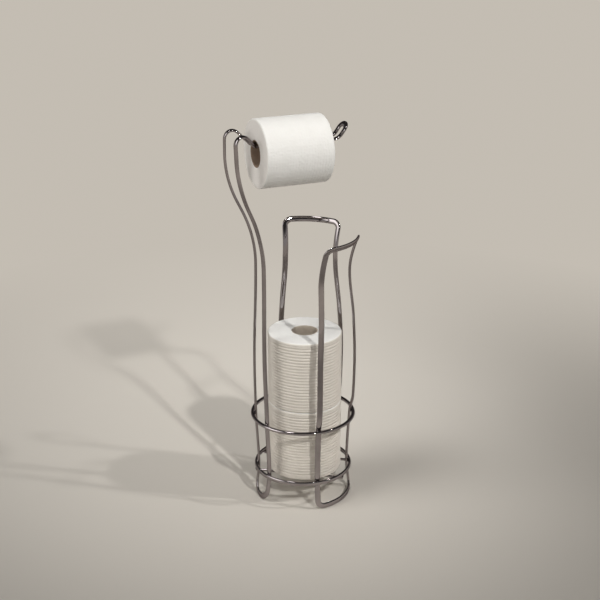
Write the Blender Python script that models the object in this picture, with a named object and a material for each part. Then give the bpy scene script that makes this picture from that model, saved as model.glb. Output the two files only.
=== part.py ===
"""Free-standing toilet roll holder in chromed wire.

Three closed frames of oval wire lie on a vase-shaped surface and are held by two rings.
Two short frames make the sides of the basket. The third and tallest arches over and comes back
across the middle as an arm, which carries the roll in use and ends in an upturned hook.
Two straight wires under the lower ring carry two spare rolls, one on the other.

The origin is on the floor, under the middle of the stand's whole depth. +Z is up and +X is the
way the arm points. Shapes are worked out from the foot of the rings' upright axis, which stands
RINGS_PLACE from the origin. All lengths are in metres.
"""

import math

import bmesh
import bpy
from mathutils import Vector

# Clearance left between pieces that touch or are welded
SEAT_GAP = 0.0003

# Rolls
CORE_BORE = 0.038
CORE_WALL = 0.0013
SPARE_DIAMETER = 0.116
SPARE_LENGTH = 0.1158
SPARE_OFFSET = 0.003
HANGING_DIAMETER = 0.103
HANGING_LENGTH = 0.105
ROLL_EDGE_ROUNDING = 0.003

# Oval wire of the three frames
STRIP_WIDTH = 0.0090
STRIP_THICKNESS = 0.0042
FOOT_HEIGHT = STRIP_WIDTH / 2

# Rings, outside the legs, which leave room round a spare roll
UPPER_RING_WIRE = 0.0058
LOWER_RING_TALL = 0.0072
LOWER_RING_THICKNESS = 0.0045
BASKET_ROOM = 0.01065
LOWER_SEAT = SPARE_DIAMETER / 2 + BASKET_ROOM + STRIP_THICKNESS / 2
LOWER_RING_RADIUS = LOWER_SEAT + STRIP_THICKNESS / 2 + SEAT_GAP + LOWER_RING_THICKNESS / 2
LOWER_RING_HEIGHT = 0.0475
RINGS_SPLAY = 0.0045
RINGS_APART = 0.0895
UPPER_RING_RADIUS = LOWER_RING_RADIUS + RINGS_SPLAY
UPPER_SEAT = UPPER_RING_RADIUS - UPPER_RING_WIRE / 2 - SEAT_GAP - STRIP_THICKNESS / 2
UPPER_RING_HEIGHT = LOWER_RING_HEIGHT + RINGS_APART

# Base wires, which lie this far inside the edge of a spare roll
BASE_WIRE_DIAMETER = 0.0042
BASE_WIRE_INSET = 0.028
BASE_WIRE_OFFSET = SPARE_DIAMETER / 2 - BASE_WIRE_INSET

# Vase shape that the side frames follow, each place a step out and up from the one below
FOOT_SPLAY = 0.00375
FOOT_REACH = LOWER_SEAT + FOOT_SPLAY
HIP_SWELL = 0.0051
HIP_RISE = 0.026
HIP_REACH = UPPER_SEAT + HIP_SWELL
HIP_HEIGHT = UPPER_RING_HEIGHT + HIP_RISE
BELLY_SWELL = 0.0016
BELLY_RISE = 0.0625
BELLY_REACH = HIP_REACH + BELLY_SWELL
BELLY_HEIGHT = HIP_HEIGHT + BELLY_RISE
SHOULDER_DRAW = 0.0030
SHOULDER_RISE = 0.0745
SHOULDER_REACH = BELLY_REACH - SHOULDER_DRAW
SHOULDER_HEIGHT = BELLY_HEIGHT + SHOULDER_RISE
NECK_DRAW = 0.0071
NECK_RISE = 0.076
NECK_REACH = SHOULDER_REACH - NECK_DRAW
NECK_HEIGHT = SHOULDER_HEIGHT + NECK_RISE
LIP_FLARE = 0.0123
LIP_RISE = 0.0555
LIP_REACH = NECK_REACH + LIP_FLARE
LIP_HEIGHT = NECK_HEIGHT + LIP_RISE
LIP_SLOPE_SHARE = 0.38

# Side frames: where they stand, and half the angle between the two legs
SIDE_FRAME_ANGLE = 56.3
SIDE_LOW_SPREAD = 37.5
SIDE_NECK_SPREAD = 34.0
SIDE_LIP_SPREAD = 31.2
SIDE_FOOT_CORNER = 0.0095
SIDE_TOP_CORNER = 0.0085

# Arm frame from the side, down from its top: arch, upright, outward lean and waist. Its two
# wires are closest together a little below the lean.
ARM_HEIGHT = 0.5965
ARM_ARCH_BEND = 0.013
ARM_UPRIGHT = 0.073
ARM_LEAN_RISE = 0.0892
ARM_LEAN_OUT = 0.0437
ARM_LEAN_LOW_SHARE = 0.45
ARM_LEAN_HIGH_SHARE = 0.40
ARM_STRAIGHT = 0.0478
ARM_WAIST_DRAW = 0.0035
ARM_BELLY_SWELL = 0.0014
ARM_BELLY_REACH = UPPER_SEAT + ARM_BELLY_SWELL
ARM_WAIST_REACH = ARM_BELLY_REACH - ARM_WAIST_DRAW
ARM_REACH = ARM_WAIST_REACH + ARM_LEAN_OUT
ARM_LEAN_END = ARM_HEIGHT - ARM_UPRIGHT
ARM_LEAN_START = ARM_LEAN_END - ARM_LEAN_RISE
ARM_WAIST_HEIGHT = ARM_LEAN_START - ARM_STRAIGHT
ARM_NARROW_DROP = 0.0093
ARM_NARROW_HEIGHT = ARM_LEAN_START - ARM_NARROW_DROP

# Arm from the arch to the hook's tip
ARM_DROP_ANGLE = 47.0
ARM_DIP = 0.020
ARM_LEVEL_HEIGHT = ARM_HEIGHT - ARM_DIP
ARM_LEVEL_BEND = 0.006
ROLL_MARGIN = 0.0012
HOOK_ROOM = 0.0222
HOOK_BEND = 0.018
HOOK_ANGLE = 54.0
HOOK_LENGTH = 0.0240

# Arm frame, half of the gap between the middles of its two wires, and half of its two short bars
ARM_FOOT_HALF_GAP = 0.023
ARM_RING_HALF_GAP = 0.0246
ARM_NARROW_HALF_GAP = 0.0167
ARM_SHOULDER_HALF_GAP = 0.0268
ARM_ARCH_HALF_GAP = 0.0210
ARM_CORE_HALF_GAP = 0.0085
HOOK_HALF_GAP = 0.0100
ARM_FOOT_HALF_BAR = 0.004
HOOK_HALF_BAR = 0.0015

# Spacing of the points along bent wires, and counts of faces
LEG_STEP = 0.015
BAR_STEP = 0.009
FINE_STEP = 0.0035
SAMPLE_STEP = 0.001
OVAL_FACES = 8
ROUND_WIRE_FACES = 10
RING_FACES = 64
ROLL_FACES = 48
CORNER_FACES = 5
EDGE_FACES = 3

# Colours, linear
CHROME_COLOUR = (0.72, 0.72, 0.71, 1.0)
PAPER_COLOUR = (0.80, 0.77, 0.71, 1.0)
RIDGED_PAPER_COLOUR = (0.76, 0.72, 0.65, 1.0)
CARDBOARD_COLOUR = (0.34, 0.27, 0.20, 1.0)


# From the origin to the foot of the rings' axis: the arch reaches further out than the rings
ARCH_OUTER_REACH = math.sqrt(ARM_REACH ** 2 - ARM_ARCH_HALF_GAP ** 2) + STRIP_THICKNESS / 2
RINGS_PLACE = (ARCH_OUTER_REACH - UPPER_RING_RADIUS - UPPER_RING_WIRE / 2) / 2


def clear_scene():
    for item in list(bpy.data.objects):
        bpy.data.objects.remove(item, do_unlink=True)


def material(name, colour, roughness, metallic):
    finish = bpy.data.materials.new(name)
    finish.use_nodes = True
    shader = finish.node_tree.nodes["Principled BSDF"]
    shader.inputs["Base Color"].default_value = colour
    shader.inputs["Roughness"].default_value = roughness
    shader.inputs["Metallic"].default_value = metallic
    return finish


def chrome(name):
    return material(name + "_chrome", CHROME_COLOUR, 0.08, 1.0)


def add_object(name, mesh_data, finish, origin=(0.0, 0.0, 0.0)):
    """Turn a bmesh into an object; its places and its origin are measured from the rings' axis."""
    origin = Vector(origin)
    bmesh.ops.translate(mesh_data, verts=mesh_data.verts, vec=-origin)
    bmesh.ops.recalc_face_normals(mesh_data, faces=mesh_data.faces)
    mesh = bpy.data.meshes.new(name)
    mesh_data.to_mesh(mesh)
    mesh_data.free()
    mesh.shade_smooth()
    mesh.set_sharp_from_angle(angle=math.radians(50))
    mesh.materials.append(finish)
    item = bpy.data.objects.new(name, mesh)
    item.location = origin + Vector((RINGS_PLACE, 0.0, 0.0))
    bpy.context.scene.collection.objects.link(item)
    return item


# Wire sections and sweeps

def oval_section(width, thickness):
    """Section of an oval wire: points (across, out), with a flat at each end of both widths."""
    half_face = math.pi / OVAL_FACES
    points = []
    for step in range(OVAL_FACES):
        turn = (2 * step + 1) * half_face
        points.append((width / 2 * math.cos(turn) / math.cos(half_face),
                       thickness / 2 * math.sin(turn) / math.cos(half_face)))
    return points


def round_section(diameter):
    points = []
    for step in range(ROUND_WIRE_FACES):
        turn = 2 * math.pi * (step + 0.5) / ROUND_WIRE_FACES
        points.append((diameter / 2 * math.cos(turn), diameter / 2 * math.sin(turn)))
    return points


def sweep_closed(path, section):
    """Carry a section round a closed path of (point, outward direction) pairs."""
    mesh_data = bmesh.new()
    loops = []
    count = len(path)
    for index, (point, outward) in enumerate(path):
        before = (point - path[index - 1][0]).normalized()
        after = (path[(index + 1) % count][0] - point).normalized()
        along = (before + after).normalized()
        out = (outward - outward.dot(along) * along).normalized()
        across = along.cross(out)
        loops.append([mesh_data.verts.new(point + across * a + out * o) for a, o in section])
    for index in range(count):
        here = loops[index]
        there = loops[(index + 1) % count]
        for corner in range(len(section)):
            following = (corner + 1) % len(section)
            mesh_data.faces.new((here[corner], here[following], there[following], there[corner]))
    return mesh_data


# Curves seen from the side: lists of (reach, height)

def smooth_between(stations, start_slope, end_slope, step):
    """Points of a curve through (position, value) stations that adds no humps of its own."""
    secants = []
    for (p0, v0), (p1, v1) in zip(stations, stations[1:]):
        secants.append((v1 - v0) / (p1 - p0))
    slopes = [start_slope]
    for left, right in zip(secants, secants[1:]):
        slopes.append(2 * left * right / (left + right) if left * right > 0 else 0.0)
    slopes.append(end_slope)
    points = []
    for index, ((p0, v0), (p1, v1)) in enumerate(zip(stations, stations[1:])):
        span = p1 - p0
        count = max(1, math.ceil(span / step))
        for part in range(count):
            t = part / count
            value = ((1 + 2 * t) * (1 - t) ** 2 * v0 + t * t * (3 - 2 * t) * v1
                     + t * (1 - t) ** 2 * span * slopes[index]
                     + t * t * (t - 1) * span * slopes[index + 1])
            points.append((value, p0 + t * span))
    points.append((stations[-1][1], stations[-1][0]))
    return points


def rounded_line(corners, step):
    """Points along straight runs whose inner corners (reach, height, bend radius) are arcs."""
    points = [Vector(corners[0][:2])]
    for before, corner, after in zip(corners, corners[1:], corners[2:]):
        middle = Vector(corner[:2])
        bend = corner[2]
        inward = (Vector(before[:2]) - middle).normalized()
        onward = (Vector(after[:2]) - middle).normalized()
        turn = math.pi - inward.angle(onward)
        setback = bend * math.tan(turn / 2)
        centre = middle + (inward + onward).normalized() * bend / math.cos(turn / 2)
        start = middle + inward * setback - centre
        side = 1 if inward.cross(onward) < 0 else -1
        count = max(2, math.ceil(turn * bend / step))
        for part in range(count + 1):
            angle = side * turn * part / count
            cos, sin = math.cos(angle), math.sin(angle)
            points.append(centre + Vector((start.x * cos - start.y * sin,
                                           start.x * sin + start.y * cos)))
    points.append(Vector(corners[-1][:2]))
    return [(point.x, point.y) for point in points]


class Profile:
    """A side curve measured by its own length, with the direction it runs in."""

    def __init__(self, points):
        self.points = [Vector(points[0])]
        self.lengths = [0.0]
        for point in points[1:]:
            here = Vector(point)
            run = (here - self.points[-1]).length
            if run > SAMPLE_STEP / 100:
                self.lengths.append(self.lengths[-1] + run)
                self.points.append(here)
        self.total = self.lengths[-1]

    def index_at(self, length):
        low, high = 0, len(self.lengths) - 2
        while low < high:
            middle = (low + high + 1) // 2
            if self.lengths[middle] <= length:
                low = middle
            else:
                high = middle - 1
        return low

    def point(self, length):
        index = self.index_at(length)
        share = (length - self.lengths[index]) / (self.lengths[index + 1] - self.lengths[index])
        return self.points[index].lerp(self.points[index + 1], share)

    def direction(self, length):
        low = self.point(max(0.0, length - SAMPLE_STEP))
        high = self.point(min(self.total, length + SAMPLE_STEP))
        return (high - low).normalized()

    def length_at_height(self, height):
        """Length at which the curve first rises past a height."""
        for index, point in enumerate(self.points):
            if point.y >= height:
                return self.lengths[index]
        return self.total


def side_profile():
    stations = [(FOOT_HEIGHT, FOOT_REACH), (LOWER_RING_HEIGHT, LOWER_SEAT),
                (UPPER_RING_HEIGHT, UPPER_SEAT), (HIP_HEIGHT, HIP_REACH),
                (BELLY_HEIGHT, BELLY_REACH), (SHOULDER_HEIGHT, SHOULDER_REACH),
                (NECK_HEIGHT, NECK_REACH), (LIP_HEIGHT, LIP_REACH)]
    return Profile(smooth_between(stations, 0.0, LIP_SLOPE_SHARE, SAMPLE_STEP))


def arch_corner_height():
    """Height at which the arm's riser and its drop would meet if the arch were a sharp corner."""
    half_turn = math.radians(90 + ARM_DROP_ANGLE) / 2
    return ARM_HEIGHT - ARM_ARCH_BEND + ARM_ARCH_BEND * math.tan(half_turn)


def level_corner_reach():
    """Reach at which the arm's drop meets its level run."""
    fall = arch_corner_height() - ARM_LEVEL_HEIGHT
    return ARM_REACH - fall / math.tan(math.radians(ARM_DROP_ANGLE))


def hanging_near_face():
    """Reach of the hanging roll's end that faces the arch, just past the bend in the arm."""
    setback = ARM_LEVEL_BEND * math.tan(math.radians(ARM_DROP_ANGLE) / 2)
    return level_corner_reach() - setback - ROLL_MARGIN


def lean_bends():
    """Radii of the bends below and above the lean, each of which takes its share of it."""
    lean = math.hypot(ARM_LEAN_OUT, ARM_LEAN_RISE)
    half_turn = math.atan(ARM_LEAN_OUT / ARM_LEAN_RISE) / 2
    return tuple(lean * share / math.tan(half_turn)
                 for share in (ARM_LEAN_LOW_SHARE, ARM_LEAN_HIGH_SHARE))


def arm_profile():
    """The tall frame from the side: up, outwards, over the arch, down, level and up the hook."""
    stations = [(FOOT_HEIGHT, FOOT_REACH), (LOWER_RING_HEIGHT, LOWER_SEAT),
                (UPPER_RING_HEIGHT, UPPER_SEAT), (BELLY_HEIGHT, ARM_BELLY_REACH),
                (ARM_WAIST_HEIGHT, ARM_WAIST_REACH)]
    leg = smooth_between(stations, 0.0, 0.0, SAMPLE_STEP)
    low_bend, high_bend = lean_bends()
    rise = math.radians(HOOK_ANGLE)
    hook_reach = hanging_near_face() - HANGING_LENGTH - HOOK_ROOM
    corners = [(ARM_WAIST_REACH, ARM_WAIST_HEIGHT),
               (ARM_WAIST_REACH, ARM_LEAN_START, low_bend),
               (ARM_REACH, ARM_LEAN_END, high_bend),
               (ARM_REACH, arch_corner_height(), ARM_ARCH_BEND),
               (level_corner_reach(), ARM_LEVEL_HEIGHT, ARM_LEVEL_BEND),
               (hook_reach, ARM_LEVEL_HEIGHT, HOOK_BEND),
               (hook_reach - HOOK_LENGTH * math.cos(rise),
                ARM_LEVEL_HEIGHT + HOOK_LENGTH * math.sin(rise))]
    return Profile(leg + rounded_line(corners, SAMPLE_STEP))


# Frames: a flat closed loop (aside, length up the profile) wrapped onto a curved surface

def corner_points(aside, length, radius, up):
    """Quarter turn between a cross bar and a leg, from the bar outwards or from the leg back."""
    points = []
    for part in range(CORNER_FACES + 1):
        turn = math.radians(90) * part / CORNER_FACES
        if up:
            points.append((aside - radius + radius * math.sin(turn),
                           length + radius - radius * math.cos(turn)))
        else:
            points.append((aside - radius + radius * math.cos(turn),
                           length - radius + radius * math.sin(turn)))
    return points


def loop_outline(total, half_gap, leg_lengths, foot_corner, top_corner):
    """Closed outline from the middle of the foot bar, up one leg, across and down the other."""
    foot_aside = half_gap(foot_corner)
    top_aside = half_gap(total - top_corner)
    half = []
    foot_bar = foot_aside - foot_corner
    bar_count = max(1, math.ceil(foot_bar / BAR_STEP))
    half += [(foot_bar * part / bar_count, 0.0) for part in range(bar_count)]
    half += corner_points(foot_aside, 0.0, foot_corner, True)
    half += [(half_gap(length), length) for length in leg_lengths]
    half += corner_points(top_aside, total, top_corner, False)
    top_bar = top_aside - top_corner
    bar_count = max(1, math.ceil(top_bar / BAR_STEP))
    half += [(top_bar * (bar_count - part) / bar_count, total) for part in range(1, bar_count + 1)]
    other = [(-aside, length) for aside, length in reversed(half[1:-1])]
    return half + other


def even_lengths(start, end, step):
    count = max(1, math.ceil((end - start) / step))
    return [start + (end - start) * part / count for part in range(1, count)]


def leg_lengths(profile, start, end):
    """Places of a leg's points, with one at each edge of the rings so that it lies flat on them."""
    marks = [start]
    for height, tall in ((LOWER_RING_HEIGHT, LOWER_RING_TALL), (UPPER_RING_HEIGHT, UPPER_RING_WIRE)):
        marks.append(profile.length_at_height(height - tall / 2))
        marks.append(profile.length_at_height(height + tall / 2))
    marks.append(end)
    lengths = []
    for low, high in zip(marks, marks[1:]):
        lengths += even_lengths(low, high, LEG_STEP) + [high]
    return lengths[:-1]


def wrap(profile, outline, crown, facing):
    """Points and outward directions of an outline on the surface, turned to face an azimuth."""
    azimuth = math.radians(facing)
    forward = Vector((math.cos(azimuth), math.sin(azimuth), 0.0))
    sideways = Vector((-math.sin(azimuth), math.cos(azimuth), 0.0))
    upward = Vector((0.0, 0.0, 1.0))
    path = []
    for aside, length in outline:
        reach, height = profile.point(length)
        run = profile.direction(length)
        round_share = crown(length)
        sag = round_share * (reach - math.sqrt(reach * reach - aside * aside)) if round_share else 0.0
        lean = math.asin(aside / reach) * round_share if round_share else 0.0
        point = forward * (reach - sag) + sideways * aside + upward * height
        radial = forward * math.cos(lean) + sideways * math.sin(lean)
        path.append((point, radial * run.y - upward * run.x))
    return path


def build_side_frame(name, facing):
    profile = side_profile()
    neck = profile.length_at_height(NECK_HEIGHT)
    belly = profile.length_at_height(BELLY_HEIGHT)

    def half_gap(length):
        if length <= belly:
            spread = SIDE_LOW_SPREAD
        elif length <= neck:
            share = (length - belly) / (neck - belly)
            eased = share * share * (3 - 2 * share)
            spread = SIDE_LOW_SPREAD + (SIDE_NECK_SPREAD - SIDE_LOW_SPREAD) * eased
        else:
            share = (length - neck) / (profile.total - neck)
            spread = SIDE_NECK_SPREAD + (SIDE_LIP_SPREAD - SIDE_NECK_SPREAD) * share
        return profile.point(length).x * math.sin(math.radians(spread))

    legs = leg_lengths(profile, SIDE_FOOT_CORNER, profile.total - SIDE_TOP_CORNER)
    outline = loop_outline(profile.total, half_gap, legs, SIDE_FOOT_CORNER, SIDE_TOP_CORNER)
    path = wrap(profile, outline, lambda length: 1.0, facing)
    section = oval_section(STRIP_WIDTH, STRIP_THICKNESS)
    return add_object(name, sweep_closed(path, section), chrome(name))


def build_arm_frame(name):
    profile = arm_profile()
    lower = profile.length_at_height(LOWER_RING_HEIGHT)
    upper = profile.length_at_height(UPPER_RING_HEIGHT)
    narrow = profile.length_at_height(ARM_NARROW_HEIGHT)
    shoulder = profile.length_at_height(ARM_LEAN_END)
    arch_start = profile.length_at_height(ARM_HEIGHT - ARM_ARCH_BEND)
    arch_end = arch_start + ARM_ARCH_BEND * math.radians(90 + ARM_DROP_ANGLE)
    core_far = profile.total - HOOK_LENGTH - HOOK_ROOM
    core_near = core_far - HANGING_LENGTH
    gaps = [(0.0, ARM_FOOT_HALF_GAP), (lower, ARM_FOOT_HALF_GAP), (upper, ARM_RING_HALF_GAP),
            (narrow, ARM_NARROW_HALF_GAP), (shoulder, ARM_SHOULDER_HALF_GAP),
            (arch_end, ARM_ARCH_HALF_GAP), (core_near, ARM_CORE_HALF_GAP),
            (core_far, ARM_CORE_HALF_GAP), (profile.total, HOOK_HALF_GAP)]
    gap_curve = Profile([(length, gap) for gap, length in smooth_between(gaps, 0.0, 0.0, SAMPLE_STEP)])

    def half_gap(length):
        low, high = 0, len(gap_curve.points) - 1
        while low < high - 1:
            middle = (low + high) // 2
            if gap_curve.points[middle].x <= length:
                low = middle
            else:
                high = middle
        first, second = gap_curve.points[low], gap_curve.points[high]
        return first.y + (second.y - first.y) * (length - first.x) / (second.x - first.x)

    def crown(length):
        """Full roundness of the vase in the legs, easing to none over the arch."""
        if length <= arch_start:
            return 1.0
        if length >= arch_end:
            return 0.0
        share = (length - arch_start) / (arch_end - arch_start)
        return 1.0 - share * share * (3 - 2 * share)

    foot_corner = ARM_FOOT_HALF_GAP - ARM_FOOT_HALF_BAR
    hook_corner = HOOK_HALF_GAP - HOOK_HALF_BAR
    legs = leg_lengths(profile, foot_corner, arch_start) + [arch_start]
    arch = even_lengths(arch_start, arch_end, FINE_STEP) + [arch_end]
    level_start = core_near - 2 * ARM_LEVEL_BEND
    drop = even_lengths(arch_end, level_start, LEG_STEP) + [level_start]
    settle = even_lengths(level_start, core_near, FINE_STEP) + [core_near]
    hook_start = profile.total - HOOK_LENGTH - HOOK_BEND
    run = even_lengths(core_near, hook_start, LEG_STEP) + [hook_start]
    rise = even_lengths(hook_start, profile.total - hook_corner, FINE_STEP)
    lengths = legs + arch + drop + settle + run + rise
    outline = loop_outline(profile.total, half_gap, lengths, foot_corner, hook_corner)
    path = wrap(profile, outline, crown, 180.0)
    section = oval_section(STRIP_WIDTH, STRIP_THICKNESS)
    return add_object(name, sweep_closed(path, section), chrome(name))


# Rings and base wires

def build_ring(name, radius, height, section):
    path = []
    for step in range(RING_FACES):
        turn = 2 * math.pi * step / RING_FACES
        outward = Vector((math.cos(turn), math.sin(turn), 0.0))
        path.append((outward * radius + Vector((0.0, 0.0, height)), outward))
    return add_object(name, sweep_closed(path, section), chrome(name))


def base_wire_top():
    return LOWER_RING_HEIGHT - LOWER_RING_TALL / 2 - SEAT_GAP


def build_base_wire(name, side):
    """Straight wire welded under the lower ring, along the chord of the first side frame."""
    radius = BASE_WIRE_DIAMETER / 2
    outer = LOWER_RING_RADIUS + LOWER_RING_THICKNESS / 2
    half = math.sqrt(outer * outer - (BASE_WIRE_OFFSET + radius) ** 2)
    azimuth = math.radians(SIDE_FRAME_ANGLE)
    normal = Vector((math.cos(azimuth), math.sin(azimuth), 0.0))
    along = Vector((-math.sin(azimuth), math.cos(azimuth), 0.0))
    middle = normal * side * BASE_WIRE_OFFSET + Vector((0.0, 0.0, base_wire_top() - radius))
    upward = Vector((0.0, 0.0, 1.0))
    mesh_data = bmesh.new()
    ends = []
    for end in (-half, half):
        points = round_section(BASE_WIRE_DIAMETER)
        ends.append([mesh_data.verts.new(middle + along * end + normal * a + upward * o)
                     for a, o in points])
    count = len(ends[0])
    for corner in range(count):
        following = (corner + 1) % count
        mesh_data.faces.new((ends[0][corner], ends[0][following], ends[1][following], ends[1][corner]))
    mesh_data.faces.new(ends[0])
    mesh_data.faces.new(ends[1])
    return add_object(name, mesh_data, chrome(name))


# Rolls

def turned_tube(outline, axis, aside, centre):
    """Turn a closed outline of (radius, place along the axis) round an axis through a point."""
    mesh_data = bmesh.new()
    cross = axis.cross(aside)
    loops = []
    for step in range(ROLL_FACES):
        turn = 2 * math.pi * step / ROLL_FACES
        outward = aside * math.cos(turn) + cross * math.sin(turn)
        loops.append([mesh_data.verts.new(centre + outward * radius + axis * place)
                      for radius, place in outline])
    for index in range(ROLL_FACES):
        here = loops[index]
        there = loops[(index + 1) % ROLL_FACES]
        for corner in range(len(outline)):
            following = (corner + 1) % len(outline)
            mesh_data.faces.new((here[corner], here[following], there[following], there[corner]))
    return mesh_data


def paper_outline(diameter, length):
    """Wound paper: a thick tube with softly rounded outer edges."""
    inner = CORE_BORE / 2 + CORE_WALL + SEAT_GAP
    outer = diameter / 2
    rounding = ROLL_EDGE_ROUNDING
    points = [(inner, -length / 2)]
    for end in (-1, 1):
        for part in range(EDGE_FACES + 1):
            turn = math.radians(90) * (part / EDGE_FACES if end < 0 else 1 - part / EDGE_FACES)
            points.append((outer - rounding + rounding * math.sin(turn),
                           end * (length / 2 - rounding + rounding * math.cos(turn))))
    points.append((inner, length / 2))
    return points


def core_outline(length):
    inner = CORE_BORE / 2
    outer = inner + CORE_WALL
    return [(inner, -length / 2), (outer, -length / 2), (outer, length / 2), (inner, length / 2)]


def build_roll(name, diameter, length, axis, aside, centre, paper_colour):
    paper = turned_tube(paper_outline(diameter, length), axis, aside, centre)
    finish = material(name + "_paper", paper_colour, 0.9, 0.0)
    add_object(name + "_paper", paper, finish, centre)
    core = turned_tube(core_outline(length), axis, aside, centre)
    finish = material(name + "_core", CARDBOARD_COLOUR, 0.85, 0.0)
    add_object(name + "_core", core, finish, centre)


def hanging_axis_height():
    """Height at which the core hangs on the outer edges of the two level wires."""
    reach = CORE_BORE / 2 - SEAT_GAP
    drops = []
    for across, out in oval_section(STRIP_WIDTH, STRIP_THICKNESS):
        drops.append(math.sqrt(reach ** 2 - (ARM_CORE_HALF_GAP + across) ** 2) - out)
    return ARM_LEVEL_HEIGHT - min(drops)


def build_rolls():
    upward = Vector((0.0, 0.0, 1.0))
    arm_way = Vector((1.0, 0.0, 0.0))
    first = base_wire_top() + SEAT_GAP + SPARE_LENGTH / 2
    for name, level in (("lower_spare", 0), ("upper_spare", 1)):
        centre = Vector((SPARE_OFFSET, 0.0, first + level * (SPARE_LENGTH + SEAT_GAP)))
        build_roll(name, SPARE_DIAMETER, SPARE_LENGTH, upward, arm_way, centre, RIDGED_PAPER_COLOUR)
    middle = HANGING_LENGTH / 2 - hanging_near_face()
    centre = Vector((middle, 0.0, hanging_axis_height()))
    build_roll("hanging_roll", HANGING_DIAMETER, HANGING_LENGTH, arm_way, upward, centre, PAPER_COLOUR)


def main():
    clear_scene()
    build_arm_frame("arm_frame")
    build_side_frame("left_side_frame", SIDE_FRAME_ANGLE)
    build_side_frame("right_side_frame", -SIDE_FRAME_ANGLE)
    build_ring("upper_ring", UPPER_RING_RADIUS, UPPER_RING_HEIGHT, round_section(UPPER_RING_WIRE))
    lower_section = oval_section(LOWER_RING_TALL, LOWER_RING_THICKNESS)
    build_ring("lower_ring", LOWER_RING_RADIUS, LOWER_RING_HEIGHT, lower_section)
    build_base_wire("left_base_wire", 1)
    build_base_wire("right_base_wire", -1)
    build_rolls()


main()
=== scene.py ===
"""Looks of a free-standing toilet roll holder in chromed wire, with its three rolls.

The wires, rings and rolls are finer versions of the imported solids, built by the same rules with
closer points. Sizes and places are in metres, measured from the foot of the rings' upright axis,
which the frame gives.
"""

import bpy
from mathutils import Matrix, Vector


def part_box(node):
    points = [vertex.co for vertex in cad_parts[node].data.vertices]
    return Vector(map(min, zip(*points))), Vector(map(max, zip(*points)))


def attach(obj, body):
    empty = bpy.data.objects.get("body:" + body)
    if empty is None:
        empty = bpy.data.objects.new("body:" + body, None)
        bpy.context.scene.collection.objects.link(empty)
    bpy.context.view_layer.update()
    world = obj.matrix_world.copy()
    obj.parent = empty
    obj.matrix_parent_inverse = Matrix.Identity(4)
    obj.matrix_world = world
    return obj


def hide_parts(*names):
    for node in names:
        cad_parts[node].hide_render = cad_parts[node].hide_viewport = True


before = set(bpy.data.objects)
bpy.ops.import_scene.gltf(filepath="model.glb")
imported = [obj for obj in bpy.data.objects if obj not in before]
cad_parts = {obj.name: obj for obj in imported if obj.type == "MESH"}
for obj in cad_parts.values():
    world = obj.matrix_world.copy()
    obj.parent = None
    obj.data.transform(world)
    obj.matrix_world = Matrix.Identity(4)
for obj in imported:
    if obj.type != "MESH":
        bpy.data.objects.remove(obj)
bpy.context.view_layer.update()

import bisect
import math

import bmesh
import bpy
from mathutils import Vector, noise

# Place of the rings, from the frame, and two directions
RING_LOW, RING_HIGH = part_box("upper_ring")
RINGS_PLACE = Vector(((RING_LOW.x + RING_HIGH.x) / 2, 0.0, 0.0))
UPWARD = Vector((0.0, 0.0, 1.0))
ALONG_ARM = Vector((1.0, 0.0, 0.0))

# Clearance left between pieces that touch or are welded
SEAT_GAP = 0.0003

# Rolls
CORE_BORE = 0.038
CORE_WALL = 0.0013
SPARE_DIAMETER = 0.116
SPARE_LENGTH = 0.1158
HANGING_DIAMETER = 0.103
HANGING_LENGTH = 0.105
ROLL_EDGE_ROUNDING = 0.003

# Oval wire of the three frames
STRIP_WIDTH = 0.0090
STRIP_THICKNESS = 0.0042
FOOT_HEIGHT = STRIP_WIDTH / 2

# Rings, outside the legs, which leave room round a spare roll
UPPER_RING_WIRE = 0.0058
LOWER_RING_TALL = 0.0072
LOWER_RING_THICKNESS = 0.0045
BASKET_ROOM = 0.01065
LOWER_SEAT = SPARE_DIAMETER / 2 + BASKET_ROOM + STRIP_THICKNESS / 2
LOWER_RING_RADIUS = LOWER_SEAT + STRIP_THICKNESS / 2 + SEAT_GAP + LOWER_RING_THICKNESS / 2
LOWER_RING_HEIGHT = 0.0475
RINGS_SPLAY = 0.0045
RINGS_APART = 0.0895
UPPER_RING_RADIUS = LOWER_RING_RADIUS + RINGS_SPLAY
UPPER_SEAT = UPPER_RING_RADIUS - UPPER_RING_WIRE / 2 - SEAT_GAP - STRIP_THICKNESS / 2
UPPER_RING_HEIGHT = LOWER_RING_HEIGHT + RINGS_APART

# Base wires, which lie this far inside the edge of a spare roll
BASE_WIRE_DIAMETER = 0.0042
BASE_WIRE_INSET = 0.028
BASE_WIRE_OFFSET = SPARE_DIAMETER / 2 - BASE_WIRE_INSET

# Cut ends of the base wires: how deep they are rounded, as a share of the wire's radius, and the
# places and thicknesses on the way in, as shares of that depth and of the wire
CUT_END_SHARE = 0.35
CUT_END_STATIONS = ((0.0, 0.65), (0.4, 0.88), (1.0, 1.0))

# Vase shape that the side frames follow, each place a step out and up from the one below
FOOT_SPLAY = 0.00375
FOOT_REACH = LOWER_SEAT + FOOT_SPLAY
HIP_SWELL = 0.0051
HIP_RISE = 0.026
HIP_REACH = UPPER_SEAT + HIP_SWELL
HIP_HEIGHT = UPPER_RING_HEIGHT + HIP_RISE
BELLY_SWELL = 0.0016
BELLY_RISE = 0.0625
BELLY_REACH = HIP_REACH + BELLY_SWELL
BELLY_HEIGHT = HIP_HEIGHT + BELLY_RISE
SHOULDER_DRAW = 0.0030
SHOULDER_RISE = 0.0745
SHOULDER_REACH = BELLY_REACH - SHOULDER_DRAW
SHOULDER_HEIGHT = BELLY_HEIGHT + SHOULDER_RISE
NECK_DRAW = 0.0071
NECK_RISE = 0.076
NECK_REACH = SHOULDER_REACH - NECK_DRAW
NECK_HEIGHT = SHOULDER_HEIGHT + NECK_RISE
LIP_FLARE = 0.0123
LIP_RISE = 0.0555
LIP_REACH = NECK_REACH + LIP_FLARE
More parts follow.
